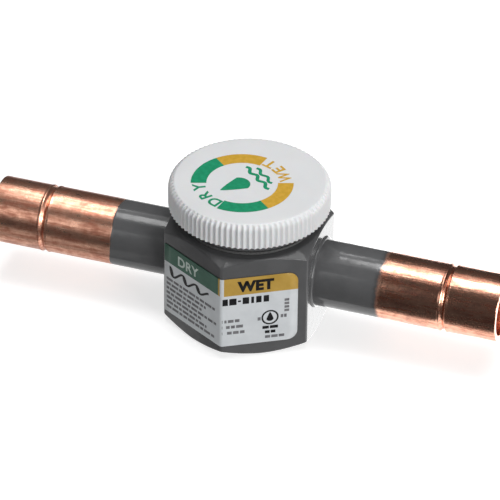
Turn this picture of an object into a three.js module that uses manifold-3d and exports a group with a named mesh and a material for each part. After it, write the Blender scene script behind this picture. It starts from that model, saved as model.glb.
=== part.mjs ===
// A refrigerant sight glass with a moisture indicator, for brazing into a liquid line.
//
// A hexagonal body carries a copper stub on each side and a round neck on top. The neck holds a
// glass window, with a moisture-sensitive paper disc just under it, and a fluted dust cap pushes
// over the neck. Millimetres, +Z up, flow along X. The origin is the centre of the body's flat base.

import * as THREE from 'three';
import { mergeVertices } from 'three/addons/utils/BufferGeometryUtils.js';
import Module from 'manifold-3d';

const wasm = await Module();
wasm.setup();

// ---------------------------------------------------------------------------------------------
// Driving dimensions
// ---------------------------------------------------------------------------------------------

const INCH = 25.4;

const body = {
  acrossFlats: 1.375 * INCH, // hexagonal bar stock
  height: 26.6,
  endCircle: 17.2, // radius of the turned flat that the end chamfers leave
  chamferAngle: 30, // degrees from the end face
  edgeBreak: 0.35, // narrow flat on each upright edge, along the face
  axisHeight: 14.95, // flow axis above the base
  socketDepth: 4.0, // how far a stub goes into the body
  chamberRadius: 10.0, // viewing chamber between the flow bore and the window
};

const stub = {
  outer: 15.6, // diameter
  bore: 0.5 * INCH + 0.1, // takes half-inch tube, brazed
  cupDepth: 0.5 * INCH, // from the stub's end to the rolled tube stop
  overall: 122.7, // from end to end over both stubs
  stopDepth: 0.5, // depth of the rolled groove outside
  stopRise: 0.5, // height of the ridge that it raises inside
  stopHalfWidth: 0.9,
  edge: 0.2, // chamfer on both edges of the open end
};

const fillet = { size: 1.2, lip: 0.15 }; // braze fillet's hollow face, and its blunt edges

const neck = {
  radius: 15.9,
  top: 34.4, // height of its rim above the base
  rimChamfer: 0.5,
  spigotRadius: 13.6, // the part screwed into the body
  spigotLength: 3.2,
  boreRadius: 10.9,
  ledge: 29.7, // height of the seat under the glass shell
};

const seal = { thickness: 0.6, inner: 13.9, outer: 15.6 };
const glass = { radius: 11.6, thickness: 3.8, crown: 0.35, bevel: 0.3 };
const shell = { wall: 0.8, standUp: 0.3 }; // plated ring that the glass is fused into

const holder = { wall: 0.7, floor: 0.6, portRadius: 2.5, hoopInner: 9.8, hoopOuter: 10.6 };
const arms = { count: 3, width: 2.2, thickness: 0.8 };
const paper = { radius: 5.4, thickness: 0.3 };
const screen = { thickness: 0.3 };
const pad = { thickness: 1.2 };
const bezel = { overlap: 1.0, thickness: 0.4 };
const clip = { bottom: 23.9, thickness: 0.8, wire: 1.6, grip: 0.5, openAngle: 50 };
const wave = { inner: 9.2, outer: 10.5, thickness: 0.3, waves: 3 };

const cap = {
  radius: 18.76,
  base: 30.25, // height of the skirt's lower edge
  top: 36.45,
  edgeRadius: 1.6, // rounding of the upper edge
  footChamfer: 0.3,
  fluteCount: 90,
  fluteDepth: 0.4,
  boreRadius: 16.1,
  roof: 1.4, // thickness of the top wall
  leadIn: 0.4, // chamfer at the mouth
};

const liner = { thickness: 0.45, inner: 12.8, outer: 15.8 };

const label = {
  bottom: 3.4,
  top: 22.15,
  reach: 17.95, // from the front edge along the right-hand face
  cornerRadius: 2.4,
  thickness: 0.15,
};

const gap = 0.1; // between neighbouring pieces that are pressed, screwed, glued or laid together
const ROUND = 32; // sides of an ordinary round piece
const FINE = 48; // sides of the neck and what fits it

// ---------------------------------------------------------------------------------------------
// Derived dimensions
// ---------------------------------------------------------------------------------------------

const faceDistance = body.acrossFlats / 2; // from the axis to each flat
const cornerRadius = body.acrossFlats / Math.sqrt(3);

const stubRadius = stub.outer / 2;
const boreRadius = stub.bore / 2;
const stubEnd = stub.overall / 2;
const stubStart = faceDistance - body.socketDepth;
const stopPlace = stubEnd - stub.cupDepth;

const sealBase = body.height + gap;
const shoulder = sealBase + seal.thickness + gap;
const spigotBase = body.height - neck.spigotLength + gap;
const glassBase = neck.ledge + gap;
const glassTop = glassBase + glass.thickness;
const shellInner = glass.radius + gap;
const shellOuter = shellInner + shell.wall;

// The indicator is a stack: bezel, paper, screen and pad, from the glass downwards.
const bezelBase = glassBase - gap - bezel.thickness;
const cupTop = bezelBase - gap;
const cupInner = paper.radius + gap;
const cupOuter = cupInner + holder.wall;
const paperBase = cupTop - gap - paper.thickness;
const screenBase = paperBase - gap - screen.thickness;
const padBase = screenBase - gap - pad.thickness;
const holderBase = padBase - gap - holder.floor;
const clipTop = clip.bottom + clip.thickness;

const roofUnderside = cap.top - cap.roof;
const linerBase = neck.top + gap;

// ---------------------------------------------------------------------------------------------
// Shape helpers
// ---------------------------------------------------------------------------------------------

// A solid of revolution about Z from [radius, height] points, taken so that the solid is on the
// left of the line. A profile that starts off the axis is closed on itself.
function revolve(profile, sides = ROUND) {
  const points = profile.map(([r, z]) => new THREE.Vector2(r, z));
  const closed = profile[0][0] > 0 ? [...points, points[0].clone()] : points;
  return new THREE.LatheGeometry(closed, sides).rotateX(Math.PI / 2);
}

// A plain ring about Z.
function ring(inner, outer, low, high, sides = ROUND) {
  return revolve([[inner, low], [outer, low], [outer, high], [inner, high]], sides);
}

// A plain disc about Z.
function disc(radius, low, high, sides = ROUND) {
  return revolve([[0, low], [radius, low], [radius, high], [0, high]], sides);
}

// Turns a piece made about Z so that it lies along X, at the height of the flow axis.
function alongFlow(geometry) {
  return geometry.rotateY(Math.PI / 2).translate(0, 0, body.axisHeight);
}

// The same piece on the other side of the body: half a turn about the upright axis.
function otherSide(geometry) {
  return geometry.clone().rotateZ(Math.PI);
}

// Points of an arc, ends included, as [x, y] pairs. Angles in degrees.
function arc(cx, cy, radius, from, to, steps) {
  return Array.from({ length: steps + 1 }, (_, i) => {
    const angle = THREE.MathUtils.degToRad(from + ((to - from) * i) / steps);
    return [cx + radius * Math.cos(angle), cy + radius * Math.sin(angle)];
  });
}

// An outline in plan, pushed up from one height to another.
function upright(points, low, high) {
  const shape = new THREE.Shape(points.map(([x, y]) => new THREE.Vector2(x, y)));
  const settings = { depth: high - low, bevelEnabled: false };
  return new THREE.ExtrudeGeometry(shape, settings).translate(0, 0, low);
}

// Moves every vertex of a piece made about Z by a rule of its angle, radius and height.
function reshape(geometry, rule) {
  const vertices = geometry.getAttribute('position');
  for (let i = 0; i < vertices.count; i += 1) {
    const angle = Math.atan2(vertices.getY(i), vertices.getX(i));
    const radius = Math.hypot(vertices.getX(i), vertices.getY(i));
    const [r, z] = rule(angle, radius, vertices.getZ(i));
    vertices.setXYZ(i, r * Math.cos(angle), r * Math.sin(angle), z);
  }
  return geometry;
}

function solid(geometry) {
  const bare = geometry.clone();
  bare.deleteAttribute('normal');
  bare.deleteAttribute('uv');
  const merged = mergeVertices(bare, 1e-4);
  return new wasm.Manifold(new wasm.Mesh({
    numProp: 3,
    vertProperties: merged.attributes.position.array,
    triVerts: new Uint32Array(merged.index.array),
  }));
}

function geometryOf(made) {
  const mesh = made.getMesh();
  const geometry = new THREE.BufferGeometry();
  geometry.setAttribute('position', new THREE.BufferAttribute(mesh.vertProperties, 3));
  geometry.setIndex(new THREE.BufferAttribute(mesh.triVerts, 1));
  const flat = geometry.toNonIndexed();
  flat.computeVertexNormals();
  return flat;
}

function cut(first, ...tools) {
  return geometryOf(tools.reduce((left, tool) => left.subtract(solid(tool)), solid(first)));
}

function join(first, ...others) {
  return geometryOf(others.reduce((whole, other) => whole.add(solid(other)), solid(first)));
}

function common(first, second) {
  return geometryOf(solid(first).intersect(solid(second)));
}

// ---------------------------------------------------------------------------------------------
// Body
// ---------------------------------------------------------------------------------------------

// A corner of the hexagon in plan, number 0 at 30 degrees, for flats moved out by an offset.
function hexCorner(k, offset = 0) {
  const angle = THREE.MathUtils.degToRad(30 + 60 * k);
  const reach = (cornerRadius * (faceDistance + offset)) / faceDistance;
  return new THREE.Vector2(reach * Math.cos(angle), reach * Math.sin(angle));
}

// A point on the way from one corner to another, at a distance from the first.
function along(from, to, distance) {
  return to.clone().sub(from).setLength(distance).add(from);
}

// Hexagon in plan, each corner broken by a narrow flat.
function hexagonOutline() {
  const outline = [];
  for (let k = 0; k < 6; k += 1) {
    const corner = hexCorner(k);
    outline.push(along(corner, hexCorner(k + 5), body.edgeBreak).toArray());
    outline.push(along(corner, hexCorner(k + 1), body.edgeBreak).toArray());
  }
  return outline;
}

// What is left after both ends are turned to a shallow cone, as on a nut.
function turnedEnvelope() {
  const outside = cornerRadius + 1;
  const drop = (outside - body.endCircle) * Math.tan(THREE.MathUtils.degToRad(body.chamferAngle));
  return revolve([
    [0, 0], [body.endCircle, 0], [outside, drop],
    [outside, body.height - drop], [body.endCircle, body.height], [0, body.height],
  ], FINE);
}

function hexBody() {
  const blank = common(upright(hexagonOutline(), 0, body.height), turnedEnvelope());
  const past = faceDistance + 2;
  const flowBore = alongFlow(disc(boreRadius, -past, past));
  const socket = alongFlow(disc(stubRadius + gap, stubStart - gap, past));
  const chamber = disc(body.chamberRadius, body.axisHeight - boreRadius, body.height + 1);
  const counterboreFloor = body.height - neck.spigotLength;
  const counterbore = disc(neck.spigotRadius + gap, counterboreFloor, body.height + 1, FINE);
  return cut(blank, flowBore, socket, otherSide(socket), chamber, counterbore);
}

// ---------------------------------------------------------------------------------------------
// Copper stubs and their braze fillets
// ---------------------------------------------------------------------------------------------

// One wall of the rolled tube stop: a smooth dent, as points in order of their place on the tube.
function rolledDent(radius, depth) {
  const steps = 4;
  return Array.from({ length: steps + 1 }, (_, i) => {
    const across = (2 * i) / steps - 1;
    const dent = (depth * (1 + Math.cos(Math.PI * across))) / 2;
    return [radius - dent, stopPlace + stub.stopHalfWidth * across];
  });
}

// A stub along X, open at both ends, with the rolled stop for the line's tube.
function copperStub() {
  return alongFlow(revolve([
    [boreRadius, stubStart],
    [stubRadius, stubStart],
    ...rolledDent(stubRadius, stub.stopDepth),
    [stubRadius, stubEnd - stub.edge],
    [stubRadius - stub.edge, stubEnd],
    [boreRadius + stub.edge, stubEnd],
    [boreRadius, stubEnd - stub.edge],
    ...rolledDent(boreRadius, stub.stopRise).reverse(),
  ]));
}

// A hollow-faced ring of braze alloy in the corner between the stub and the body.
function brazeFillet() {
  const inside = stubRadius + gap;
  const foot = faceDistance + gap;
  const reach = fillet.size + fillet.lip;
  const face = arc(inside + reach, foot + reach, fillet.size, 270, 180, 3);
  return alongFlow(revolve([
    [inside, foot], [inside + reach, foot], ...face, [inside, foot + reach],
  ]));
}

// ---------------------------------------------------------------------------------------------
// Neck, window and seal
// ---------------------------------------------------------------------------------------------

// The neck screws into the body. It has a seat for the window and a groove for the spring clip.
function neckRing() {
  const seat = shellOuter + gap;
  const groove = neck.boreRadius + clip.grip + gap;
  return revolve([
    [neck.boreRadius, spigotBase],
    [neck.spigotRadius, spigotBase],
    [neck.spigotRadius, shoulder],
    [neck.radius, shoulder],
    [neck.radius, neck.top - neck.rimChamfer],
    [neck.radius - neck.rimChamfer, neck.top],
    [seat, neck.top],
    [seat, neck.ledge],
    [neck.boreRadius, neck.ledge],
    [neck.boreRadius, clipTop + gap],
    [groove, clipTop + gap],
    [groove, clip.bottom - gap],
    [neck.boreRadius, clip.bottom - gap],
  ], FINE);
}

// A washer under the neck's shoulder, pinched against the top of the body.
function neckSeal() {
  return ring(seal.inner, seal.outer, sealBase, sealBase + seal.thickness, FINE);
}

// The glass is fused into a plated shell, which is soldered into the neck.
function glassShell() {
  return ring(shellInner, shellOuter, glassBase, glassTop + shell.standUp, FINE);
}

// The window: flat underneath, with a slight crown on top.
function windowGlass() {
  const sphere = (glass.radius ** 2 + glass.crown ** 2) / (2 * glass.crown);
  const halfAngle = THREE.MathUtils.radToDeg(Math.asin(glass.radius / sphere));
  const crown = arc(0, glassTop - sphere, sphere, 90 - halfAngle, 90, 4).slice(0, -1);
  return revolve([
    [0, glassBase],
    [glass.radius - glass.bevel, glassBase],
    [glass.radius, glassBase + glass.bevel],
    ...crown,
    [0, glassTop],
  ]);
}

// ---------------------------------------------------------------------------------------------
// Moisture indicator, held up against the window
// ---------------------------------------------------------------------------------------------

// A cup on three arms, with an outer hoop that the wave spring pushes against.
function indicatorHolder() {
  const hoopTop = holderBase + arms.thickness;
  const cup = revolve([
    [holder.portRadius, holderBase],
    [cupOuter, holderBase],
    [cupOuter, cupTop],
    [cupInner, cupTop],
    [cupInner, holderBase + holder.floor],
    [holder.portRadius, holderBase + holder.floor],
  ]);
  const hoop = ring(holder.hoopInner, holder.hoopOuter, holderBase, hoopTop);
  const armStart = (cupInner + cupOuter) / 2;
  const armEnd = (holder.hoopInner + holder.hoopOuter) / 2;
  const spokes = Array.from({ length: arms.count }, (_, k) =>
    new THREE.BoxGeometry(armEnd - armStart, arms.width, arms.thickness)
      .translate((armStart + armEnd) / 2, 0, holderBase + arms.thickness / 2)
      .rotateZ((2 * Math.PI * k) / arms.count + Math.PI / 2));
  return join(cup, hoop, ...spokes);
}

// A thin ring over the paper's edge, on top of the cup.
function indicatorBezel() {
  return ring(cupInner - bezel.overlap, cupOuter, bezelBase, bezelBase + bezel.thickness);
}

// A disc of the indicator stack.
function stackDisc(low, thickness) {
  return disc(paper.radius, low, low + thickness);
}

// Wave washer between the spring clip and the holder's hoop.
function waveSpring() {
  const middle = (clipTop + holderBase) / 2;
  const swing = (holderBase - clipTop - wave.thickness) / 2 - gap;
  const half = wave.thickness / 2;
  const flat = ring(wave.inner, wave.outer, middle - half, middle + half);
  return reshape(flat, (angle, r, z) => [r, z + swing * Math.sin(wave.waves * angle)]);
}

// Open spring clip in the neck's inner groove.
function springClip() {
  const outer = neck.boreRadius + clip.grip;
  const half = clip.openAngle / 2;
  const outline = [
    ...arc(0, 0, outer, half, 360 - half, 36),
    ...arc(0, 0, outer - clip.wire, 360 - half, half, 36),
  ];
  return upright(outline, clip.bottom, clipTop);
}

// ---------------------------------------------------------------------------------------------
// Label wrapped round the two front faces
// ---------------------------------------------------------------------------------------------

// The label's line in plan, at a distance from the flats, from its right-hand end to its left.
function labelLine(offset) {
  const front = hexCorner(4, offset);
  return [along(front, hexCorner(5, offset), label.reach), front, hexCorner(3, offset)]
    .map((point) => point.toArray());
}

// Its outline on the right-hand face, with two round corners. The left end is left long.
function labelOutline() {
  const r = label.cornerRadius;
  const centre = label.reach - r;
  const left = -2 * body.acrossFlats;
  return [
    [left, label.bottom],
    ...arc(centre, label.bottom + r, r, -90, 0, 6),
    ...arc(centre, label.top - r, r, 0, 90, 6),
    [left, label.top],
  ];
}

function wrapLabel() {
  const outside = labelLine(gap + label.thickness);
  const inside = labelLine(gap).reverse();
  const strip = upright([...outside, ...inside], label.bottom, label.top);
  const front = hexCorner(4);
  const towardsRight = hexCorner(5).sub(front).normalize();
  const across = new THREE.Vector3(towardsRight.x, towardsRight.y, 0);
  const up = new THREE.Vector3(0, 0, 1);
  const outwards = new THREE.Vector3().crossVectors(across, up);
  const start = new THREE.Vector3(front.x, front.y, 0)
    .addScaledVector(outwards, -body.acrossFlats);
  const placed = new THREE.Matrix4().makeBasis(across, up, outwards).setPosition(start);
  const mask = upright(labelOutline(), 0, 2 * body.acrossFlats).applyMatrix4(placed);
  return common(strip, mask);
}

// ---------------------------------------------------------------------------------------------
// Dust cap
// ---------------------------------------------------------------------------------------------

// The flutes run up the skirt and fade out over the rounded upper edge.
function dustCap() {
  const edgeCentre = cap.radius - cap.edgeRadius;
  const rounding = arc(edgeCentre, cap.top - cap.edgeRadius, cap.edgeRadius, 0, 90, 3);
  const smooth = revolve([
    [0, roofUnderside],
    [cap.boreRadius, roofUnderside],
    [cap.boreRadius, cap.base + cap.leadIn],
    [cap.boreRadius + cap.leadIn, cap.base],
    [cap.radius - cap.footChamfer, cap.base],
    [cap.radius, cap.base + cap.footChamfer],
    ...rounding,
    [0, cap.top],
  ], 2 * cap.fluteCount);
  return reshape(smooth, (angle, r, z) => {
    const onSkirt = THREE.MathUtils.smoothstep(r, edgeCentre, edgeCentre + cap.edgeRadius / 2);
    const valley = (1 - Math.cos(cap.fluteCount * angle)) / 2;
    return [r - cap.fluteDepth * onSkirt * valley, z];
  });
}

// A soft ring inside the cap's roof, which rests on the neck's rim.
function capLiner() {
  return ring(liner.inner, liner.outer, linerBase, linerBase + liner.thickness, FINE);
}

// ---------------------------------------------------------------------------------------------
// Materials and assembly
// ---------------------------------------------------------------------------------------------

function finish(color, roughness, metalness) {
  return new THREE.MeshStandardMaterial({ color, roughness, metalness });
}

const paint = finish(0x55575a, 0.35, 0.1);
const copper = finish(0xc98663, 0.28, 1.0);
const plated = finish(0xb9bcc0, 0.25, 1.0);
const brass = finish(0xb8975a, 0.35, 1.0);
const springSteel = finish(0xa9abad, 0.3, 1.0);
const clearGlass = finish(0xdfeae6, 0.05, 0.0);
const sealant = finish(0xe8e6df, 0.6, 0.0);
const dryPaper = finish(0x2f9e63, 0.9, 0.0);
const felt = finish(0xd9d4c6, 0.95, 0.0);
const whitePlastic = finish(0xe6e6ea, 0.45, 0.0);
const foam = finish(0xf2f1ec, 0.8, 0.0);
const printedFoil = finish(0xd5d8da, 0.35, 0.0);

const sightGlass = new THREE.Group();

function add(name, geometry, material) {
  const piece = new THREE.Mesh(geometry, material);
  piece.name = name;
  sightGlass.add(piece);
}

add('hex_body', hexBody(), paint);
add('outlet_stub', copperStub(), copper);
add('inlet_stub', otherSide(copperStub()), copper);
add('outlet_braze_fillet', brazeFillet(), paint);
add('inlet_braze_fillet', otherSide(brazeFillet()), paint);

add('neck_seal', neckSeal(), sealant);
add('neck_ring', neckRing(), paint);
add('glass_shell', glassShell(), plated);
add('window_glass', windowGlass(), clearGlass);

add('indicator_holder', indicatorHolder(), brass);
add('filter_pad', stackDisc(padBase, pad.thickness), felt);
add('strainer_screen', stackDisc(screenBase, screen.thickness), brass);
add('indicator_paper', stackDisc(paperBase, paper.thickness), dryPaper);
add('indicator_bezel', indicatorBezel(), brass);
add('wave_spring', waveSpring(), springSteel);
add('spring_clip', springClip(), springSteel);

add('wrap_label', wrapLabel(), printedFoil);

add('cap_liner', capLiner(), foam);
add('dust_cap', dustCap(), whitePlastic);

export default sightGlass;
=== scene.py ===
import math

import bmesh
import bpy
from mathutils import Matrix, Vector


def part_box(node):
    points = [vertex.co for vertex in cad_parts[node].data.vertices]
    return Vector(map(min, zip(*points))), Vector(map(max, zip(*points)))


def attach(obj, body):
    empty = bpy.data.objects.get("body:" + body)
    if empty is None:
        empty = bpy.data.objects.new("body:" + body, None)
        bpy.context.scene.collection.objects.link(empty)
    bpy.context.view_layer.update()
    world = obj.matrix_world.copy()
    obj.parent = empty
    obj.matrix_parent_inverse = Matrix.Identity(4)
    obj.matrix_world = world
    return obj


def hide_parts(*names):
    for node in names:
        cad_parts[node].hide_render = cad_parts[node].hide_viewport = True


# The looks of a brazed-in refrigerant sight glass: enamelled hexagonal body, copper stubs, white
# fluted dust cap and printed label. Sizes are in millimetres until a mesh is made.

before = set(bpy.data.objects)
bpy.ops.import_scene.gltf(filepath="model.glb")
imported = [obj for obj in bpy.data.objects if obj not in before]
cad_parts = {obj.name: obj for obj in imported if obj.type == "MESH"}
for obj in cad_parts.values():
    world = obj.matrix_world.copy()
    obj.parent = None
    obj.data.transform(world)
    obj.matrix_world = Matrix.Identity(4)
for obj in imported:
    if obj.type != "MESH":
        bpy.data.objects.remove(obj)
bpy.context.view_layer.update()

MM = 0.001
scene = bpy.context.scene


# ------------------------------------------------------------------------------------------
# Sizes, from the frame
# ------------------------------------------------------------------------------------------

def box_mm(node):
    low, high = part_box(node)
    return low / MM, high / MM


HEX_HIGH = box_mm("hex_body")[1]
STUB_LOW, STUB_HIGH = box_mm("outlet_stub")
NECK_LOW, NECK_HIGH = box_mm("neck_ring")
CAP_LOW, CAP_HIGH = box_mm("dust_cap")
LINER_LOW, LINER_HIGH = box_mm("cap_liner")
SHELL_LOW, SHELL_HIGH = box_mm("glass_shell")
GLASS_LOW, GLASS_HIGH = box_mm("window_glass")
BEZEL_LOW, BEZEL_HIGH = box_mm("indicator_bezel")
LABEL_LOW, LABEL_HIGH = box_mm("wrap_label")

FLAT = HEX_HIGH.x  # from the axis to each flat
HEX_TOP = HEX_HIGH.z
END_CIRCLE = 17.2  # radius of the flat that the end chamfers leave
END_CHAMFER = math.radians(30)  # slope of the end chamfers
HEX_CORNER = 0.8  # rounding of the upright edges
HALF_SIDE = math.radians(30)  # half of the turn from one corner of a hexagon to the next
CHAMBER = 10.0  # radius of the viewing chamber
CHAMBER_FLOOR = 8.55
SPIGOT_DEPTH = 3.2  # how far the neck goes into the body
SPIGOT_RADIUS = 13.6
FIT_GAP = 0.06  # between pieces that fit into each other

FLOW_Z = (STUB_LOW.z + STUB_HIGH.z) / 2
STUB_RADIUS = (STUB_HIGH.z - STUB_LOW.z) / 2
STUB_BORE = 6.4
STUB_END = STUB_HIGH.x
STUB_START = STUB_LOW.x
STOP_PLACE = STUB_END - 12.7  # rolled tube stop
STOP_REACH = 1.7  # half of the length that the stop's shape takes up
STOP_GROOVE_WIDTH = 0.42
STOP_LIP_PLACE = 0.85  # from the groove's middle to the lip on each side
STOP_LIP_WIDTH = 0.24
PAINT_END_RIGHT = 32.8  # from the middle to where the body's paint ends on each stub
PAINT_END_LEFT = 31.6

CAP_RADIUS = CAP_HIGH.x
CAP_EDGE = 1.7  # rounding of the upper edge
CAP_BORE = 16.1  # radius
CAP_ROOF = 1.4  # thickness of the top wall
CAP_LEAD_IN = 0.4  # chamfer at the mouth
CAP_FOOT = 0.3  # rounding of the skirt's lower edge
FLUTES = 90
FLUTE_DEPTH = 0.42

SHARP = 38  # degrees: edges steeper than this stay crisp
WELD = 1e-5  # points closer than this are one point


# ------------------------------------------------------------------------------------------
# Mesh helpers
# ------------------------------------------------------------------------------------------

def polar(radius, degrees):
    angle = math.radians(degrees)
    return Vector((radius * math.cos(angle), radius * math.sin(angle)))


def arc(centre, radius, start, end, steps):
    """Points of an arc, ends included. Angles in degrees."""
    return [Vector(centre) + polar(radius, start + (end - start) * i / steps)
            for i in range(steps + 1)]


def soften(outline, radius, steps=3):
    """Rounds the corners of a closed outline, except the ones on the axis."""
    points = [Vector(p) for p in outline]
    made = []
    for i, corner in enumerate(points):
        if corner.x < 1e-6:
            made.append(corner)
            continue
        before = points[i - 1] - corner
        after = points[(i + 1) % len(points)] - corner
        reach = min(radius, 0.45 * before.length, 0.45 * after.length)
        start = corner + before.normalized() * reach
        end = corner + after.normalized() * reach
        for k in range(steps + 1):
            t = k / steps
            made.append(start * (1 - t) ** 2 + corner * (2 * t * (1 - t)) + end * t ** 2)
    return made


def skin(rings):
    """Quads between neighbouring rings of points, and from the last ring back to the first."""
    bm = bmesh.new()
    made = [[bm.verts.new(p) for p in ring] for ring in rings]
    for i, ring in enumerate(made):
        following = made[(i + 1) % len(made)]
        for j, corner in enumerate(ring):
            k = (j + 1) % len(ring)
            bm.faces.new((corner, following[j], following[k], ring[k]))
    bmesh.ops.remove_doubles(bm, verts=bm.verts, dist=WELD)
    bmesh.ops.dissolve_degenerate(bm, edges=bm.edges, dist=WELD)
    bmesh.ops.recalc_face_normals(bm, faces=bm.faces)
    return bm


def turned(profile, sides=160, rule=None):
    """A [radius, height] outline turned about Z. A rule may move each point by its angle."""
    rings = []
    for i in range(sides):
        angle = 2 * math.pi * i / sides
        line = [rule(angle, p.x, p.y) for p in profile] if rule else profile
        rings.append([Vector((p[0] * math.cos(angle), p[0] * math.sin(angle), p[1]))
                      for p in line])
    return skin(rings)


def along_flow(bm, direction=1):
    """Lays a piece made about Z along the flow axis, towards +X or -X."""
    turn = Matrix.Rotation(math.radians(90 * direction), 4, "Y")
    place = Matrix.Translation((0, 0, FLOW_Z)) @ turn
    bmesh.ops.transform(bm, matrix=place, verts=bm.verts)
    return bm


def piece(name, bm, materials, body, replaces=(), sharp=SHARP):
    """Makes an object of a mesh in millimetres and ties it to its CAD body."""
    bmesh.ops.scale(bm, vec=(MM, MM, MM), verts=bm.verts)
    mesh = bpy.data.meshes.new(name)
    bm.to_mesh(mesh)
    bm.free()
    for material in materials if isinstance(materials, list) else [materials]:
        mesh.materials.append(material)
    mesh.polygons.foreach_set("use_smooth", [True] * len(mesh.polygons))
    mesh.set_sharp_from_angle(angle=math.radians(sharp))
    obj = bpy.data.objects.new(name, mesh)
    scene.collection.objects.link(obj)
    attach(obj, body)
    if replaces:
        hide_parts(*replaces)
    return obj


def cut_by(obj, cutter_bm):
    """Cuts a solid out of an object and keeps the result as its mesh."""
    bmesh.ops.scale(cutter_bm, vec=(MM, MM, MM), verts=cutter_bm.verts)
    cutter_mesh = bpy.data.meshes.new("cutter")
    cutter_bm.to_mesh(cutter_mesh)
    cutter_bm.free()
    cutter = bpy.data.objects.new("cutter", cutter_mesh)
    scene.collection.objects.link(cutter)
    modifier = obj.modifiers.new("cut", "BOOLEAN")
    modifier.operation = "DIFFERENCE"
    modifier.solver = "EXACT"
    modifier.object = cutter
    result = bpy.data.meshes.new_from_object(
        obj.evaluated_get(bpy.context.evaluated_depsgraph_get()))
    obj.modifiers.remove(modifier)
    obj.data = result
    bpy.data.objects.remove(cutter)
    result.polygons.foreach_set("use_smooth", [True] * len(result.polygons))
    result.set_sharp_from_angle(angle=math.radians(SHARP))
    weighted = obj.modifiers.new("flat faces stay flat", "WEIGHTED_NORMAL")
    weighted.keep_sharp = True


# ------------------------------------------------------------------------------------------
# Material helpers
# ------------------------------------------------------------------------------------------

MIX_COLOUR_A, MIX_COLOUR_B, MIX_COLOUR_RESULT = 6, 7, 2  # the Mix node's sockets for colours


class Nodes:
    """Short names for the shader nodes that the materials use."""

    def __init__(self, name):
        self.material = bpy.data.materials.new(name)
        self.material.use_nodes = True
        self.tree = self.material.node_tree
        self.bsdf = self.tree.nodes["Principled BSDF"]
        self.place = self.tree.nodes.new("ShaderNodeTexCoord").outputs["Object"]

    def link(self, source, target):
        self.tree.links.new(source, target)

    def give(self, socket, value):
        if isinstance(value, bpy.types.NodeSocket):
            self.link(value, socket)
        else:
            socket.default_value = value

    def set(self, **values):
        """Sets the shader's sockets: base_color=..., roughness=... and so on."""
        for key, value in values.items():
            name = key.replace("_", " ").title().replace("Ior", "IOR")
            self.give(self.bsdf.inputs[name], value)

    def stretched(self, x, y, z):
        """Object coordinates scaled to features per metre along each axis."""
        node = self.tree.nodes.new("ShaderNodeMapping")
        self.link(self.place, node.inputs["Vector"])
        node.inputs["Scale"].default_value = (x, y, z)
        return node.outputs["Vector"]

    def noise(self, scale, detail=3.0, vector=None, roughness=0.55):
        node = self.tree.nodes.new("ShaderNodeTexNoise")
        self.link(vector or self.place, node.inputs["Vector"])
        node.inputs["Scale"].default_value = scale
        node.inputs["Detail"].default_value = detail
        node.inputs["Roughness"].default_value = roughness
        return node.outputs["Fac"]

    def cells(self, scale):
        node = self.tree.nodes.new("ShaderNodeTexVoronoi")
        self.link(self.place, node.inputs["Vector"])
        node.inputs["Scale"].default_value = scale
        return node.outputs["Distance"]

    def waves(self, scale, direction):
        node = self.tree.nodes.new("ShaderNodeTexWave")
        node.bands_direction = direction
        self.link(self.place, node.inputs["Vector"])
        node.inputs["Scale"].default_value = scale
        return node.outputs["Fac"]

    def ramp(self, source, low, high, first, last):
        """Runs from first to last, numbers or colours, as source goes from low to high."""
        colour = not isinstance(first, (int, float))
        node = self.tree.nodes.new("ShaderNodeMapRange")
        self.link(source, node.inputs["Value"])
        node.interpolation_type = "SMOOTHSTEP"
        node.inputs["From Min"].default_value = low
        node.inputs["From Max"].default_value = high
        if not colour:
            node.inputs["To Min"].default_value = first
            node.inputs["To Max"].default_value = last
            return node.outputs["Result"]
        return self.mix(node.outputs["Result"], (*first, 1), (*last, 1))

    def mix(self, factor, a, b):
        """Mixes two colours, or a colour socket with another."""
        node = self.tree.nodes.new("ShaderNodeMix")
        node.data_type = "RGBA"
        self.give(node.inputs["Factor"], factor)
        self.give(node.inputs[MIX_COLOUR_A], a)
        self.give(node.inputs[MIX_COLOUR_B], b)
        return node.outputs[MIX_COLOUR_RESULT]

    def maths(self, operation, a, b=0.0):
        node = self.tree.nodes.new("ShaderNodeMath")
        node.operation = operation
        self.give(node.inputs[0], a)
        self.give(node.inputs[1], b)
        return node.outputs["Value"]

    def axis(self, name):
        node = self.tree.nodes.new("ShaderNodeSeparateXYZ")
        self.link(self.place, node.inputs["Vector"])
        return node.outputs[name]

    def bump(self, height, depth, under=None):
        """Surface relief: depth is in metres."""
        node = self.tree.nodes.new("ShaderNodeBump")
        node.inputs["Distance"].default_value = depth
        self.link(height, node.inputs["Height"])
        if under:
            self.link(under, node.inputs["Normal"])
        self.link(node.outputs["Normal"], self.bsdf.inputs["Normal"])
        return node.outputs["Normal"]


# ------------------------------------------------------------------------------------------
# Materials. Noise scales are in features per metre, and bump depths are in metres.
# ------------------------------------------------------------------------------------------

PAINT_DARK = (0.106, 0.107, 0.109)
PAINT_LIGHT = (0.120, 0.121, 0.124)
PAINT_CLOUD = 180  # scale of the paint's light and dark patches
PAINT_PEEL = 420  # scale of its orange peel
PAINT_PEEL_DEPTH = 0.00003
PAINT_SHINE, PAINT_DULL = 0.10, 0.18  # roughness
PAINT_SPECULAR = 0.42

COPPER_DARK, COPPER_LIGHT = (0.62, 0.25, 0.165), (0.97, 0.54, 0.38)
COPPER_TARNISH = (0.40, 0.17, 0.13, 1)


def grey_enamel():
    n = Nodes("grey enamel")
    cloud = n.noise(PAINT_CLOUD, 4)
    n.set(base_color=n.ramp(cloud, 0.3, 0.7, PAINT_DARK, PAINT_LIGHT), metallic=0.0)
    n.set(roughness=n.ramp(n.noise(PAINT_PEEL, 4), 0.3, 0.7, PAINT_SHINE, PAINT_DULL))
    n.set(specular_ior_level=PAINT_SPECULAR)
    peel = n.bump(n.noise(PAINT_PEEL, 2), PAINT_PEEL_DEPTH)
    n.bump(n.noise(2600, 2), 0.000003, peel)
    return n.material


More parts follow.
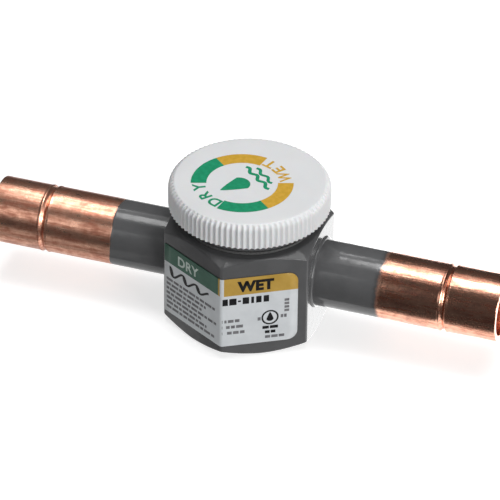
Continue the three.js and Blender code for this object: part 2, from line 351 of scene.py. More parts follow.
def painted_copper(name, paint_end, feather, smooth, dull):
    """Bright drawn copper, with the body's grey paint over the end next to the body. The paint
    ends at paint_end, in millimetres, and fades out over feather, in metres."""
    n = Nodes(name)
    from_middle = n.maths("ABSOLUTE", n.axis("X"))
    ragged = n.maths("MULTIPLY", n.maths("SUBTRACT", n.noise(130, 2), 0.5), 0.0014)
    speckle = n.maths("MULTIPLY", n.maths("SUBTRACT", n.noise(1500, 3), 0.5), feather * 0.4)
    edge = n.maths("ADD", n.maths("ADD", from_middle, ragged), speckle)
    start = paint_end * MM - feather / 2
    bare = n.ramp(edge, start, start + max(feather, 0.0004), 0.0, 1.0)

    streaks = n.noise(1, 5, n.stretched(150, 1500, 1500), 0.62)
    blotches = n.noise(520, 6, roughness=0.65)
    tone = n.maths("ADD", n.maths("MULTIPLY", streaks, 0.55), n.maths("MULTIPLY", blotches, 0.45))
    copper = n.ramp(tone, 0.38, 0.60, COPPER_DARK, COPPER_LIGHT)
    tarnish = n.ramp(n.noise(1, 5, n.stretched(90, 260, 260), 0.65), 0.50, 0.72, 0.0, 0.65)
    copper = n.mix(tarnish, copper, COPPER_TARNISH)
    paint = n.ramp(n.noise(PAINT_CLOUD, 4), 0.3, 0.7, PAINT_DARK, PAINT_LIGHT)
    shows_copper = n.ramp(bare, 0.35, 1.0, 0.0, 1.0)
    n.set(base_color=n.mix(shows_copper, paint, copper), metallic=bare)

    copper_rough = n.ramp(tone, 0.38, 0.62, dull, smooth)
    paint_rough = n.ramp(n.noise(PAINT_PEEL, 4), 0.3, 0.7, PAINT_SHINE, PAINT_DULL)
    swap = n.maths("MULTIPLY", n.maths("SUBTRACT", copper_rough, paint_rough), bare)
    n.set(roughness=n.maths("ADD", paint_rough, swap), specular_ior_level=PAINT_SPECULAR)

    step = n.bump(n.maths("SUBTRACT", 1.0, bare), 0.00006)
    bare_streaks = n.maths("MULTIPLY", n.noise(1, 3, n.stretched(110, 2600, 2600)), bare)
    draw_lines = n.bump(bare_streaks, 0.000022, step)
    bare_dents = n.maths("MULTIPLY", n.noise(900, 3), bare)
    handling = n.bump(bare_dents, 0.000028, draw_lines)
    n.bump(n.noise(PAINT_PEEL, 2), PAINT_PEEL_DEPTH, handling)
    return n.material


def white_plastic():
    n = Nodes("white moulded plastic")
    n.set(base_color=n.ramp(n.noise(90, 3), 0.3, 0.7, (0.765, 0.775, 0.785), (0.795, 0.805, 0.815)))
    n.set(roughness=n.ramp(n.noise(500, 3), 0.3, 0.7, 0.36, 0.50))
    n.set(specular_ior_level=0.45, subsurface_weight=0.08, subsurface_scale=0.0008)
    grain = n.bump(n.noise(2600, 3), 0.000010)
    n.bump(n.noise(140, 2), 0.00003, grain)
    return n.material


def ink(name, dark, light, roughness=0.42):
    """Printing ink with a slightly uneven coat."""
    n = Nodes(name)
    n.set(base_color=n.ramp(n.noise(900, 4), 0.3, 0.7, dark, light))
    n.set(roughness=n.ramp(n.noise(700, 2), 0.3, 0.7, roughness - 0.05, roughness + 0.08))
    n.set(specular_ior_level=0.3)
    n.bump(n.noise(3500, 3), 0.000006)
    return n.material


def label_film(name, dark, light):
    """Printed self-adhesive film, slightly wavy where it lies on the paint."""
    n = Nodes(name)
    n.set(base_color=n.ramp(n.noise(260, 4), 0.3, 0.7, dark, light))
    n.set(roughness=n.ramp(n.noise(600, 3), 0.3, 0.7, 0.34, 0.46), specular_ior_level=0.35)
    wrinkle = n.bump(n.noise(120, 2), 0.00005)
    n.bump(n.noise(2400, 3), 0.000006, wrinkle)
    return n.material


def turned_metal(name, dark, light, roughness):
    """Machined or stamped metal with fine marks round the upright axis."""
    n = Nodes(name)
    height_lines = n.noise(1, 3, n.stretched(300, 300, 5200))
    n.set(base_color=n.ramp(n.noise(400, 4), 0.3, 0.7, dark, light), metallic=1.0)
    n.set(roughness=n.ramp(height_lines, 0.3, 0.7, roughness, roughness + 0.14))
    n.bump(height_lines, 0.000010)
    return n.material


def clear_glass():
    n = Nodes("window glass")
    n.set(base_color=(0.93, 0.98, 0.96, 1), transmission_weight=1.0, ior=1.51)
    n.set(roughness=n.ramp(n.noise(60, 2), 0.4, 0.8, 0.01, 0.035))
    return n.material


def fibre(name, dark, light, depth):
    """Paper or felt."""
    n = Nodes(name)
    strands = n.noise(1, 5, n.stretched(2600, 900, 1500), 0.7)
    n.set(base_color=n.ramp(strands, 0.3, 0.7, dark, light), roughness=0.92)
    n.set(specular_ior_level=0.2, sheen_weight=0.15)
    n.bump(strands, depth)
    return n.material


def woven_screen():
    n = Nodes("woven wire screen")
    weave = n.maths("MULTIPLY", n.waves(420, "X"), n.waves(420, "Y"))
    n.set(base_color=n.ramp(weave, 0.1, 0.6, (0.16, 0.11, 0.05), (0.72, 0.55, 0.28)))
    n.set(metallic=1.0, roughness=0.34)
    n.bump(weave, 0.00012)
    return n.material


def soft_foam(name, dark, light):
    n = Nodes(name)
    n.set(base_color=n.ramp(n.cells(1800), 0.0, 0.6, dark, light), roughness=0.85)
    n.bump(n.cells(1800), 0.00006)
    return n.material


ENAMEL = grey_enamel()
COPPER_CRISP = painted_copper(
    "copper, crisp paint edge", PAINT_END_LEFT, feather=0.0005, smooth=0.27, dull=0.40)
COPPER_FADED = painted_copper(
    "copper, faded paint edge", PAINT_END_RIGHT, feather=0.0026, smooth=0.19, dull=0.29)
CAP_PLASTIC = white_plastic()
CAP_GREEN = ink("cap print, green", (0.006, 0.26, 0.12), (0.012, 0.33, 0.16))
CAP_AMBER = ink("cap print, amber", (0.60, 0.35, 0.03), (0.70, 0.41, 0.05))
FILM_WHITE = label_film("label film, white", (0.66, 0.69, 0.71), (0.72, 0.75, 0.77))
FILM_GREEN = label_film("label film, green", (0.045, 0.135, 0.090), (0.058, 0.165, 0.112))
FILM_AMBER = label_film("label film, amber", (0.49, 0.30, 0.052), (0.56, 0.35, 0.066))
INK_BLACK = ink("label print, black", (0.008, 0.008, 0.009), (0.02, 0.02, 0.022), 0.35)
INK_GREY = ink("label print, grey", (0.15, 0.15, 0.16), (0.22, 0.22, 0.23), 0.40)
INK_PALE = ink("label print, pale", (0.50, 0.60, 0.54), (0.60, 0.70, 0.64), 0.40)
NICKEL = turned_metal("nickel plate", (0.58, 0.58, 0.57), (0.70, 0.70, 0.69), 0.18)
BRASS = turned_metal("satin brass", (0.62, 0.44, 0.19), (0.76, 0.57, 0.28), 0.26)
SPRING_STEEL = turned_metal("spring steel", (0.40, 0.40, 0.41), (0.56, 0.56, 0.57), 0.20)
GLASS = clear_glass()
DRY_PAPER = fibre("indicator paper, dry", (0.020, 0.30, 0.12), (0.040, 0.40, 0.18), 0.00004)
FELT = fibre("filter felt", (0.55, 0.53, 0.46), (0.75, 0.73, 0.66), 0.00015)
SCREEN = woven_screen()
FOAM = soft_foam("cap liner foam", (0.62, 0.62, 0.60), (0.82, 0.82, 0.80))
SEAL_RUBBER = soft_foam("neck seal rubber", (0.08, 0.08, 0.08), (0.12, 0.12, 0.12))


# ------------------------------------------------------------------------------------------
# Body
# ------------------------------------------------------------------------------------------

def hexagon():
    """The bar's outline in plan, its corners rounded, with extra points along the flats."""
    corner_steps, flat_steps = 6, 16
    centre_distance = (FLAT - HEX_CORNER) / math.cos(HALF_SIDE)
    outline = []
    for k in range(6):
        corner = 30 + 60 * k
        centre = polar(centre_distance, corner)
        outline += arc(centre, HEX_CORNER, corner - 30, corner + 30, corner_steps)
        start = centre + polar(HEX_CORNER, corner + 30)
        end = polar(centre_distance, corner + 60) + polar(HEX_CORNER, corner + 30)
        outline += [start.lerp(end, i / flat_steps) for i in range(1, flat_steps)]
    return outline


def hex_body():
    """Each outline point carries a profile, whose chamfers come from a cone about the axis."""
    slope = math.tan(END_CHAMFER)
    counterbore = SPIGOT_RADIUS + 0.1
    socket = STUB_RADIUS + FIT_GAP
    rings = []
    for point in hexagon():
        reach = point.length
        rise = (reach - END_CIRCLE) * slope
        profile = soften([
            (0, 0), (END_CIRCLE, 0), (reach, rise), (reach, HEX_TOP - rise),
            (END_CIRCLE, HEX_TOP), (counterbore, HEX_TOP),
            (counterbore, HEX_TOP - SPIGOT_DEPTH), (CHAMBER, HEX_TOP - SPIGOT_DEPTH),
            (CHAMBER, CHAMBER_FLOOR), (0, CHAMBER_FLOOR),
        ], 0.3)
        way = point.normalized()
        rings.append([Vector((way.x * p.x, way.y * p.x, p.y)) for p in profile])
    body = piece("body_enamelled", skin(rings), ENAMEL, "body", ["hex_body"])
    past = FLAT + 3
    bore = [Vector(p) for p in (
        (0, -past), (socket, -past), (socket, -STUB_START), (STUB_BORE, -STUB_START),
        (STUB_BORE, STUB_START), (socket, STUB_START), (socket, past), (0, past),
    )]
    cut_by(body, along_flow(turned(bore, 96)))


# ------------------------------------------------------------------------------------------
# Stubs
# ------------------------------------------------------------------------------------------

def rolled_stop(radius, depth, lip):
    """The rolled groove in one wall of the tube, with a low lip on each side."""
    steps = 24
    points = []
    for i in range(steps + 1):
        across = STOP_REACH * (2 * i / steps - 1)
        groove = depth * math.exp(-((across / STOP_GROOVE_WIDTH) ** 2))
        lips = lip * math.exp(-(((abs(across) - STOP_LIP_PLACE) / STOP_LIP_WIDTH) ** 2))
        points.append((radius - groove + lips, STOP_PLACE + across))
    return points


def stub(name, direction, material, node):
    plain = soften([
        (STUB_BORE, STUB_START), (STUB_RADIUS, STUB_START),
        (STUB_RADIUS, STUB_END), (STUB_BORE, STUB_END),
    ], 0.28, 4)
    mid_wall = (STUB_BORE + STUB_RADIUS) / 2
    outside = [p for p in plain if p.x > mid_wall]
    inside = [p for p in plain if p.x <= mid_wall]
    split = len(outside) // 2
    first_inside = [p for p in inside if p.y < STOP_PLACE]
    last_inside = [p for p in inside if p.y > STOP_PLACE]
    profile = (
        first_inside + outside[:split]
        + [Vector(p) for p in rolled_stop(STUB_RADIUS, 0.50, 0.13)]
        + outside[split:] + last_inside
        + [Vector(p) for p in reversed(rolled_stop(STUB_BORE, 0.45, 0.0))]
    )
    bm = along_flow(turned(profile, 160), direction)
    piece(name, bm, material, "body", [node])


def braze_fillet(name, direction, node):
    """A slightly uneven painted bead where the stub enters the body."""
    size, bite = 0.6, 0.05  # the bead's size, and how far it goes into the stub and the body
    inside = STUB_RADIUS - bite
    foot = FLAT - bite
    crest = arc((inside + 0.15, foot), size, 0, 90, 8)
    profile = [Vector((inside, foot)), *crest, Vector((inside, foot + size))]

    def uneven(angle, r, x):
        swell = 0.10 * math.sin(3 * angle + direction) + 0.06 * math.sin(7 * angle + 2)
        return r + swell * (r - inside), x + swell * (x - foot)

    bm = along_flow(turned(profile, 160, uneven), direction)
    piece(name, bm, ENAMEL, "body", [node])


# ------------------------------------------------------------------------------------------
# Neck, window and indicator
# ------------------------------------------------------------------------------------------

def neck():
    shoulder = HEX_TOP + 0.8
    seat = SHELL_HIGH.x + FIT_GAP
    ledge = GLASS_LOW.z - 0.1
    radius = NECK_HIGH.x
    top = NECK_HIGH.z
    bore = 10.9
    chamfer = 0.6
    outline = [
        (bore, NECK_LOW.z), (SPIGOT_RADIUS, NECK_LOW.z), (SPIGOT_RADIUS, shoulder),
        (radius - chamfer, shoulder), (radius, shoulder + 0.5), (radius, top - chamfer),
        (radius - chamfer, top), (seat, top), (seat, ledge), (bore, ledge),
    ]
    bm = turned(soften(outline, 0.22), 192)
    piece("neck_enamelled", bm, ENAMEL, "body", ["neck_ring"])


def window():
    shell_inner = GLASS_HIGH.x + FIT_GAP
    shell = [(shell_inner, SHELL_LOW.z), (SHELL_HIGH.x, SHELL_LOW.z),
             (SHELL_HIGH.x, SHELL_HIGH.z), (shell_inner, SHELL_HIGH.z)]
    bm = turned(soften(shell, 0.2), 160)
    piece("window_shell", bm, NICKEL, "body", ["glass_shell"])

    radius, crown = GLASS_HIGH.x, 0.35
    sphere = (radius ** 2 + crown ** 2) / (2 * crown)
    half = math.degrees(math.asin(radius / sphere))
    crown_points = arc((0, GLASS_HIGH.z - sphere), sphere, 90 - half, 90, 16)
    crown_points[-1] = Vector((0, GLASS_HIGH.z))
    chamfer = 0.3
    outline = [Vector((0, GLASS_LOW.z)), Vector((radius - chamfer, GLASS_LOW.z)),
               Vector((radius, GLASS_LOW.z + chamfer)), *crown_points]
    bm = turned(outline, 128)
    piece("window_pane", bm, GLASS, "body", ["window_glass"])


def indicator():
    low, high = box_mm("indicator_paper")
    outline = [(0, low.z), (high.x, low.z), (high.x, high.z), (0, high.z)]
    bm = turned(soften(outline, 0.08), 96)
    piece("moisture_paper", bm, DRY_PAPER, "body", ["indicator_paper"])

    inner = 4.5
    ring = [(inner, BEZEL_LOW.z), (BEZEL_HIGH.x, BEZEL_LOW.z),
            (BEZEL_HIGH.x, BEZEL_HIGH.z), (inner, BEZEL_HIGH.z)]
    bm = turned(soften(ring, 0.15), 128)
    piece("moisture_bezel", bm, BRASS, "body", ["indicator_bezel"])


def carried_over():
    """CAD pieces that keep their shape and get a finish."""
    finishes = {
        "neck_seal": SEAL_RUBBER, "indicator_holder": BRASS, "filter_pad": FELT,
        "strainer_screen": SCREEN, "wave_spring": SPRING_STEEL, "spring_clip": SPRING_STEEL,
    }
    for node, material in finishes.items():
        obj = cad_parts[node]
        obj.data.materials.clear()
        obj.data.materials.append(material)
        bevel = obj.modifiers.new("soft edges", "BEVEL")
        bevel.width = 0.05 * MM
        bevel.segments = 2
        bevel.limit_method = "ANGLE"
        bevel.angle_limit = math.radians(40)


# ------------------------------------------------------------------------------------------
# Dust cap
# ------------------------------------------------------------------------------------------

def fluted(angle, r, z):
    """Rounded ridges round the skirt, which die out on the rounded upper edge."""
    start = CAP_RADIUS - CAP_EDGE
    share = min(max((r - start - 0.35) / 0.75, 0), 1)
    fade = share * share * (3 - 2 * share)
    valley = ((1 - math.cos(FLUTES * angle)) / 2) ** 0.8
    return r - FLUTE_DEPTH * fade * valley, z


def dust_cap():
    roof = CAP_HIGH.z - CAP_ROOF
    rounding_points = 4  # that soften makes at the last corner, which the foot's arc replaces
    inside = soften([
        (0, roof), (CAP_BORE, roof), (CAP_BORE, CAP_LOW.z + CAP_LEAD_IN),
        (CAP_BORE + CAP_LEAD_IN, CAP_LOW.z), (CAP_RADIUS - 0.25, CAP_LOW.z),
    ], 0.3)[:-rounding_points]
    foot = arc((CAP_RADIUS - CAP_FOOT, CAP_LOW.z + CAP_FOOT), CAP_FOOT, 270, 360, 3)
    spread = 4.0  # the skirt's extra rings of points lie within this height above its foot
    skirt = [Vector((CAP_RADIUS, CAP_LOW.z + CAP_FOOT + spread * i / 6)) for i in range(1, 6)]
    edge = arc((CAP_RADIUS - CAP_EDGE, CAP_HIGH.z - CAP_EDGE), CAP_EDGE, 0, 90, 12)
    top = [Vector((r, CAP_HIGH.z)) for r in (15.0, 10.0, 5.0, 0.0)]
    bm = turned(inside + foot + skirt + edge + top, 8 * FLUTES, fluted)
    piece("cap_fluted", bm, CAP_PLASTIC, "cap", ["dust_cap"])


def cap_liner():
    inner = 12.8
    ring = [(inner, LINER_LOW.z), (LINER_HIGH.x, LINER_LOW.z),
            (LINER_HIGH.x, LINER_HIGH.z), (inner, LINER_HIGH.z)]
    bm = turned(soften(ring, 0.12), 160)
    piece("liner_foam_ring", bm, FOAM, "liner", ["cap_liner"])


# ------------------------------------------------------------------------------------------
# Flat artwork for the prints: lists of (points, faces) in a plane
# ------------------------------------------------------------------------------------------

CAPITAL_SHARE = 0.69  # a capital's height as a share of the font's size


def strip_art(first, second):
    """A ribbon between two lines with as many points each."""
    points = [*first, *second]
    count = len(first)
    faces = [(i, i + 1, count + i + 1, count + i) for i in range(count - 1)]
    return [(points, faces)]


def ring_art(centre, inner, outer, start, end):
    steps = max(3, round(abs(end - start) / 3))
    return strip_art(arc(centre, inner, start, end, steps), arc(centre, outer, start, end, steps))


def bar_art(x, y, width, height):
    corners = [Vector(p) for p in ((x, y), (x + width, y), (x + width, y + height),
                                   (x, y + height))]
    return [(corners, [(0, 1, 2, 3)])]


def drop_art(centre, size):
    """A plain water drop, point up."""
    round_part = arc((0, 0), 0.36 * size, 200, 340, 18)
    side = [Vector((0.36 * size * math.cos(math.radians(-20)) * (1 - t) ** 0.8,
                    -0.12 * size + 0.80 * size * t)) for t in (0.2, 0.4, 0.6, 0.8, 1.0)]
    mirrored = [Vector((-p.x, p.y)) for p in reversed(side[:-1])]
    points = [Vector(centre) + p for p in round_part + side + mirrored]
    return [(points, [tuple(range(len(points)))])]


def ribbon_art(line, widths):
    """A stroke along a line of points, as wide at each point as its width says."""
    lower, upper = [], []
    for i, point in enumerate(line):
        way = line[min(i + 1, len(line) - 1)] - line[max(i - 1, 0)]
        across = Vector((-way.y, way.x)).normalized() * widths[i] / 2
        lower.append(point - across)
        upper.append(point + across)
    return strip_art(lower, upper)


def wave_art(x, y, width, swing, thickness, waves):
    """A wavy line, like the surface of water."""
    steps = 16 * waves
    line = [Vector((x + width * i / steps, y + swing * math.sin(2 * math.pi * waves * i / steps)))
            for i in range(steps + 1)]
    return ribbon_art(line, [thickness] * len(line))


def flourish_art(x, y, width):
    """A pen stroke that flows in waves, thick on the way down and thin on the way up."""
    steps, waves = 120, 3
    line, widths = [], []
    for i in range(steps + 1):
        share = i / steps
        phase = 2 * math.pi * waves * share
        rise = (1.2 - 0.5 * share) * math.cos(phase)
        line.append(Vector((x + width * share + 0.35 * rise, y + rise)))
        widths.append(0.55 + 0.65 * max(0, math.sin(phase)))
    return ribbon_art(line, widths)


def text_art(words, height, weight, spacing=1.0):
    """Plain lettering, centred on the origin. Height is that of a capital."""
    curve = bpy.data.curves.new("lettering", "FONT")
    curve.body = words
    curve.size = height / CAPITAL_SHARE
    curve.space_character = spacing
    curve.offset = weight
    curve.resolution_u = 6
    obj = bpy.data.objects.new("lettering", curve)
    scene.collection.objects.link(obj)
    mesh = bpy.data.meshes.new_from_object(
        obj.evaluated_get(bpy.context.evaluated_depsgraph_get()))
    points = [Vector((v.co.x, v.co.y)) for v in mesh.vertices]
    faces = [tuple(f.vertices) for f in mesh.polygons]
    bpy.data.objects.remove(obj)
    left = min(p.x for p in points)
    right = max(p.x for p in points)
    middle = Vector(((left + right) / 2, height / 2))
    return [([p - middle for p in points], faces)]


def moved(art, x=0.0, y=0.0, degrees=0.0, widen=1.0):
    turn = Matrix.Rotation(math.radians(degrees), 2)
    return [([turn @ Vector((p.x * widen, p.y)) + Vector((x, y)) for p in points], faces)
            for points, faces in art]


def printed(name, art, place, material, body):
    """Lays flat artwork on a surface: place turns a flat point into a point in space."""
    bm = bmesh.new()
    for points, faces in art:
        made = [bm.verts.new(place(p)) for p in points]
        for face in faces:
            bm.faces.new([made[i] for i in face])
    bmesh.ops.remove_doubles(bm, verts=bm.verts, dist=1e-4)
    return piece(name, bm, material, body)


# ------------------------------------------------------------------------------------------
# Colour key printed on the cap
# ------------------------------------------------------------------------------------------

KEY_INNER, KEY_OUTER = 8.2, 11.8  # radii of the coloured ring
KEY_CENTRE = Vector((-1.4, -1.4))
KEY_TURN = 139  # degrees from +X to the print's own right
KEY_LETTER = 2.8  # height of its letters
INK_LIFT = 0.02  # how far ink stands off the surface


def word_on_ring(places, upside):
    """Letters round the ring, each at its angle. Upside is 1 for tops outwards, -1 for tops
    towards the centre."""
    middle = (KEY_INNER + KEY_OUTER) / 2
    art = []
    for letter, angle in places:
        at = polar(middle, angle)
        turn = angle - 90 if upside > 0 else angle + 90
        widen = 0.85 if letter == "W" else 1.05
        art += moved(text_art(letter, KEY_LETTER, 0.10), at.x, at.y, turn, widen)
    return art


def colour_key():
    def on_cap(point):
        turned_point = Matrix.Rotation(math.radians(KEY_TURN), 2) @ point + KEY_CENTRE
        return Vector((turned_point.x, turned_point.y, CAP_HIGH.z + INK_LIFT))

    green = ring_art((0, 0), KEY_INNER, KEY_OUTER, 0, 60)
    green += ring_art((0, 0), KEY_INNER, KEY_OUTER, 120, 180)
    green += word_on_ring((("D", 110), ("R", 90), ("Y", 70)), 1)
    green += drop_art((0, 0.9), 7.4)
    green += wave_art(-5.2, -4.1, 10.4, 0.45, 0.85, 3)
    green += wave_art(-3.5, -5.9, 7.0, 0.42, 0.75, 2)
    printed("cap_key_green", green, on_cap, CAP_GREEN, "cap")

    amber = ring_art((0, 0), KEY_INNER, KEY_OUTER, 180, 240)
    amber += ring_art((0, 0), KEY_INNER, KEY_OUTER, 300, 360)
    amber += word_on_ring((("W", 254.5), ("E", 273), ("T", 290)), -1)
    printed("cap_key_amber", amber, on_cap, CAP_AMBER, "cap")


# ------------------------------------------------------------------------------------------
# Label wrapped round the front edge
# ------------------------------------------------------------------------------------------

LABEL_BOTTOM, LABEL_TOP = LABEL_LOW.z, LABEL_HIGH.z
LABEL_REACH = 17.95  # from the front edge along the right-hand face
LABEL_ROUND = 2.4
LABEL_LEFT = -19.6  # just short of the left-hand face's far edge
BAND = LABEL_TOP - 4.7  # lower edge of the colour bands
WHITE_FROM, WHITE_TO = -0.35, 0.65  # pale stripe that runs down the front edge
AMBER_TAB = -0.95  # narrow amber stripe to the left of it
FILM_FACE = 0.22  # from the body's flats to the film's outside
FILM_THICKNESS = 0.12


def on_body(s, z, lift):
    """The point at a distance s round from the front edge, to the right if positive."""
    radius = HEX_CORNER + lift
    centre = polar((FLAT - HEX_CORNER) / math.cos(HALF_SIDE), 270)
    half_arc = radius * HALF_SIDE
    side = 1 if s > 0 else -1
    if abs(s) <= half_arc:
        flat = centre + polar(radius, 270 + math.degrees(s / radius))
    else:
        start = centre + polar(radius, 270 + 30 * side)
        way = Vector((side * math.cos(HALF_SIDE), math.sin(HALF_SIDE)))
        flat = start + way * (abs(s) - half_arc)
    return Vector((flat.x, flat.y, z))


def label_reach(z):
    """How far the label goes to the right at a height, with its two round corners."""
    into = max(LABEL_BOTTOM + LABEL_ROUND - z, z - (LABEL_TOP - LABEL_ROUND), 0)
    return LABEL_REACH - LABEL_ROUND + math.sqrt(max(LABEL_ROUND ** 2 - into ** 2, 0))


def label_heights():
    corner = [LABEL_ROUND * (1 - math.cos(math.radians(a))) for a in range(0, 91, 15)]
    low = [LABEL_BOTTOM + c for c in corner]
    high = [LABEL_TOP - c for c in reversed(corner)]
    return sorted(low + [BAND] + high)


def wrap_label():
    left = [LABEL_LEFT + (AMBER_TAB - LABEL_LEFT) * i / 8 for i in range(9)]
    tab = [-0.65, WHITE_FROM]
    front = [-0.15, 0.05, 0.25, 0.45, WHITE_TO]
    bm = bmesh.new()
    rows = []
    heights = label_heights()
    for z in heights:
        reach = label_reach(z)
        right = [WHITE_TO + (reach - WHITE_TO) * i / 8 for i in range(1, 9)]
        columns = left + tab + front + right
        rows.append([bm.verts.new(on_body(s, z, FILM_FACE)) for s in columns])
    last_green = len(left) - 1
    last_tab = last_green + len(tab)
    last_white = last_tab + len(front)
    for i in range(len(rows) - 1):
        for j in range(len(rows[0]) - 1):
            face = bm.faces.new((rows[i][j], rows[i][j + 1], rows[i + 1][j + 1], rows[i + 1][j]))
            in_band = heights[i] > BAND - 1e-6
            if not in_band or last_tab <= j < last_white:
                face.material_index = 0
            elif j < last_green:
                face.material_index = 1
            else:
                face.material_index = 2
    films = [FILM_WHITE, FILM_GREEN, FILM_AMBER]
    label = piece("label_film", bm, films, "body", ["wrap_label"], 60)
    thick = label.modifiers.new("film thickness", "SOLIDIFY")
    thick.thickness = FILM_THICKNESS * MM
    thick.offset = -1


def greeked(x, y, height, lengths, space):
    """A line of print too small to read: bars with word spaces."""
    art = []
    for length in lengths:
        art += bar_art(x, y, length, height)
        x += length + space
    return art


def small_print(x, top, width, lines, pitch, height, seed):
    """Lines of greeked words with a ragged end. The seed varies the words' and lines' lengths."""
    art = []
    for row in range(lines):
        end = x + width * (0.82 + 0.18 * math.sin(seed + 2.3 * row))
        at = x
        count = 0
        while at < end - 0.5:
            length = 0.9 + 0.7 * (1 + math.sin(seed + 5.1 * row + 1.9 * count))
            length = min(length, end - at)
            art += bar_art(at, top - row * pitch, length, height)
            at += length + 0.3
            count += 1
    return art


def label_print():
    """Places are in millimetres: round from the front edge, and up from the base."""
    def on_label(point):
        return on_body(point.x, point.y, FILM_FACE + INK_LIFT)

    band_middle = (BAND + LABEL_TOP) / 2
    black = moved(text_art("WET", 2.6, 0.21, 1.06), 8.05, band_middle - 0.05, 0, 0.98)
    black += greeked(0.35, 14.85, 1.8, [1.25, 1.7], 0.32)
    black += bar_art(3.95, 15.55, 0.7, 0.45)
    black += greeked(5.05, 14.85, 1.8, [1.5, 0.65, 1.25, 1.25], 0.5)
    black += flourish_art(-18.3, 15.3, 13.9)
    black += ring_art((11.5, 10.3), 1.62, 2.02, 0, 360)
    black += drop_art((11.5, 10.15), 2.5)
    black += greeked(9.75, 7.15, 0.8, [1.5, 1.9], 0.25)
    black += greeked(10.35, 5.85, 0.8, [1.1, 1.1], 0.25)
    printed("label_print_black", black, on_label, INK_BLACK, "body")

    grey = small_print(-18.9, 12.5, 17.4, 7, 1.3, 0.72, 1.0)
    grey += small_print(0.25, 9.95, 6.0, 3, 1.65, 0.8, 4.0)
    grey += greeked(8.6, 9.7, 0.9, [0.7], 0.25)
    grey += greeked(14.0, 9.9, 0.9, [0.6, 0.6], 0.2)
    grey += greeked(10.4, 4.5, 0.75, [1.2, 1.5, 1.3], 0.25)
    for row in range(4):
        grey += bar_art(14.85, 11.5 + 0.98 * row, 1.1, 0.68)
    printed("label_print_grey", grey, on_label, INK_GREY, "body")

    dry = moved(text_art("DRY", 2.45, 0.10, 1.05), -11.3, band_middle - 0.1, 0, 1.0)
    printed("label_print_pale", dry, on_label, INK_PALE, "body")


# ------------------------------------------------------------------------------------------
# Stage: camera, floor, lights
# ------------------------------------------------------------------------------------------

CAMERA_AZIMUTH, CAMERA_ELEVATION, CAMERA_ROLL = 18.0, 35.2, 0.67  # degrees
CAMERA_AIM = Vector((0.22, 0, FLOW_Z + 2.16))
CAMERA_DISTANCE = 1.0  # metres
LENS, SENSOR = 310.8, 36

FLOOR_HEIGHT = -0.0002  # metres, just under the base so that the two don't coincide
BOUNCE_HEIGHT = -0.001
CARD_HEIGHT = -0.05


def camera():
    azimuth, elevation, roll = (
        math.radians(a) for a in (CAMERA_AZIMUTH, CAMERA_ELEVATION, CAMERA_ROLL))
    back = Vector((math.sin(azimuth) * math.cos(elevation),
                   -math.cos(azimuth) * math.cos(elevation), math.sin(elevation)))
    level = Vector((math.cos(azimuth), math.sin(azimuth), 0))
    upright = back.cross(level)
    right = level * math.cos(roll) + upright * math.sin(roll)
    up = upright * math.cos(roll) - level * math.sin(roll)
    aim = CAMERA_AIM * MM
    data = bpy.data.cameras.new("camera")
    data.sensor_width = SENSOR
    data.lens = LENS
    obj = bpy.data.objects.new("camera", data)
    scene.collection.objects.link(obj)
    turn = Matrix((right, up, back)).transposed().to_4x4()
    obj.matrix_world = Matrix.Translation(aim + back * CAMERA_DISTANCE) @ turn
    scene.camera = obj


def stage_plane(name, low, high, height, glow):
    """A pale level plane that gives off some light of its own, from corner to corner."""
    n = Nodes(name)
    n.set(base_color=n.ramp(n.noise(3, 2), 0.3, 0.7, (0.60, 0.60, 0.60), (0.61, 0.61, 0.61)))
    n.set(roughness=0.9, specular_ior_level=0.1)
    n.set(emission_color=(1.0, 1.0, 1.0, 1.0), emission_strength=glow)
    n.material.cycles.emission_sampling = "NONE"
    bm = bmesh.new()
    bmesh.ops.create_grid(bm, x_segments=2, y_segments=2, size=0.5)
    bmesh.ops.scale(bm, vec=(high[0] - low[0], high[1] - low[1], 1), verts=bm.verts)
    mesh = bpy.data.meshes.new(name)
    bm.to_mesh(mesh)
    bm.free()
    mesh.materials.append(n.material)
    obj = bpy.data.objects.new(name, mesh)
    obj.location = ((low[0] + high[0]) / 2, (low[1] + high[1]) / 2, height)
    scene.collection.objects.link(obj)
    return obj


def soft_box(name, climb, side, distance, size, radiance, in_reflections=True, on_surfaces=True):
    """A rectangular lamp that faces the object. Climb goes from the front horizon over the
    top, side goes from the middle towards +X, and both are in degrees."""
    around, across = math.radians(climb), math.radians(side)
    way = Vector((math.sin(across), -math.cos(across) * math.cos(around),
                  math.cos(across) * math.sin(around)))
    data = bpy.data.lights.new(name, "AREA")
    data.shape = "RECTANGLE"
    data.size, data.size_y = size
    data.energy = math.pi * size[0] * size[1] * radiance
    obj = bpy.data.objects.new(name, data)
    obj.location = way * distance + Vector((0, 0, FLOW_Z * MM))
    obj.rotation_euler = (-way).to_track_quat("-Z", "Y").to_euler()
    obj.visible_camera = False
    obj.visible_glossy = in_reflections
    obj.visible_diffuse = on_surfaces
    scene.collection.objects.link(obj)


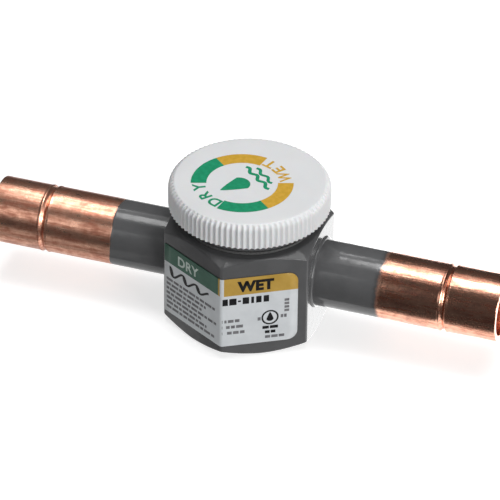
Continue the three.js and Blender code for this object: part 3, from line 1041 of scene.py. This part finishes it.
def stage():
    """Of the planes, the camera sees only the floor. The others stand for the light that a white
    table sends up: the bounce lights matt surfaces, and the cards show only in reflections."""
    floor = stage_plane("floor", (-4, -4), (4, 4), FLOOR_HEIGHT, 0.70)
    floor.visible_glossy = False
    floor.visible_diffuse = False
    bounce = stage_plane("floor_bounce", (-1, -1), (1, 1), BOUNCE_HEIGHT, 0.51)
    bounce.visible_camera = False
    bounce.visible_glossy = False
    for name, low, high, glow in (
        ("floor_glow_left", (-0.25, -0.03), (-0.03, 0.40), 0.38),
        ("floor_glow_front", (-0.14, -0.12), (-0.045, -0.045), 0.12),
        ("floor_glow_right", (-0.03, -0.04), (0.35, 0.045), 1.0),
        ("floor_glow_back", (-0.03, 0.045), (0.35, 0.40), 2.7),
    ):
        card = stage_plane(name, low, high, CARD_HEIGHT, glow)
        card.visible_camera = False
        card.visible_diffuse = False
    soft_box("overhead_strip", 96, -1.3, 1.0, (0.545, 0.34), 6.6)
    soft_box("overhead_left", 117, -22, 1.1, (0.30, 0.125), 4.6, on_surfaces=False)
    soft_box("overhead_right", 92, 25, 1.0, (0.66, 0.32), 2.4)
    soft_box("overhead_soft", 100, 0, 1.0, (0.90, 0.85), 1.1)
    soft_box("key", 30, 56, 1.0, (0.45, 0.45), 7.6)
    soft_box("front_fill", 40, 12, 1.0, (0.50, 0.30), 0.7, in_reflections=False)
    soft_box("front_left", 30, -29, 0.35, (0.16, 0.16), 1.2, on_surfaces=False)
    soft_box("edge_glint", 28, 37, 1.0, (0.16, 0.22), 9.0, on_surfaces=False)

    world = bpy.data.worlds.new("studio")
    scene.world = world
    world.use_nodes = True
    world.node_tree.nodes["Background"].inputs["Color"].default_value = (0.055, 0.055, 0.057, 1)
    scene.view_settings.view_transform = "Standard"


# ------------------------------------------------------------------------------------------
# Everything, in order
# ------------------------------------------------------------------------------------------

camera()
hex_body()
stub("stub_right", 1, COPPER_FADED, "outlet_stub")
stub("stub_left", -1, COPPER_CRISP, "inlet_stub")
braze_fillet("fillet_right", 1, "outlet_braze_fillet")
braze_fillet("fillet_left", -1, "inlet_braze_fillet")
neck()
window()
indicator()
carried_over()
dust_cap()
cap_liner()
colour_key()
wrap_label()
label_print()
stage()
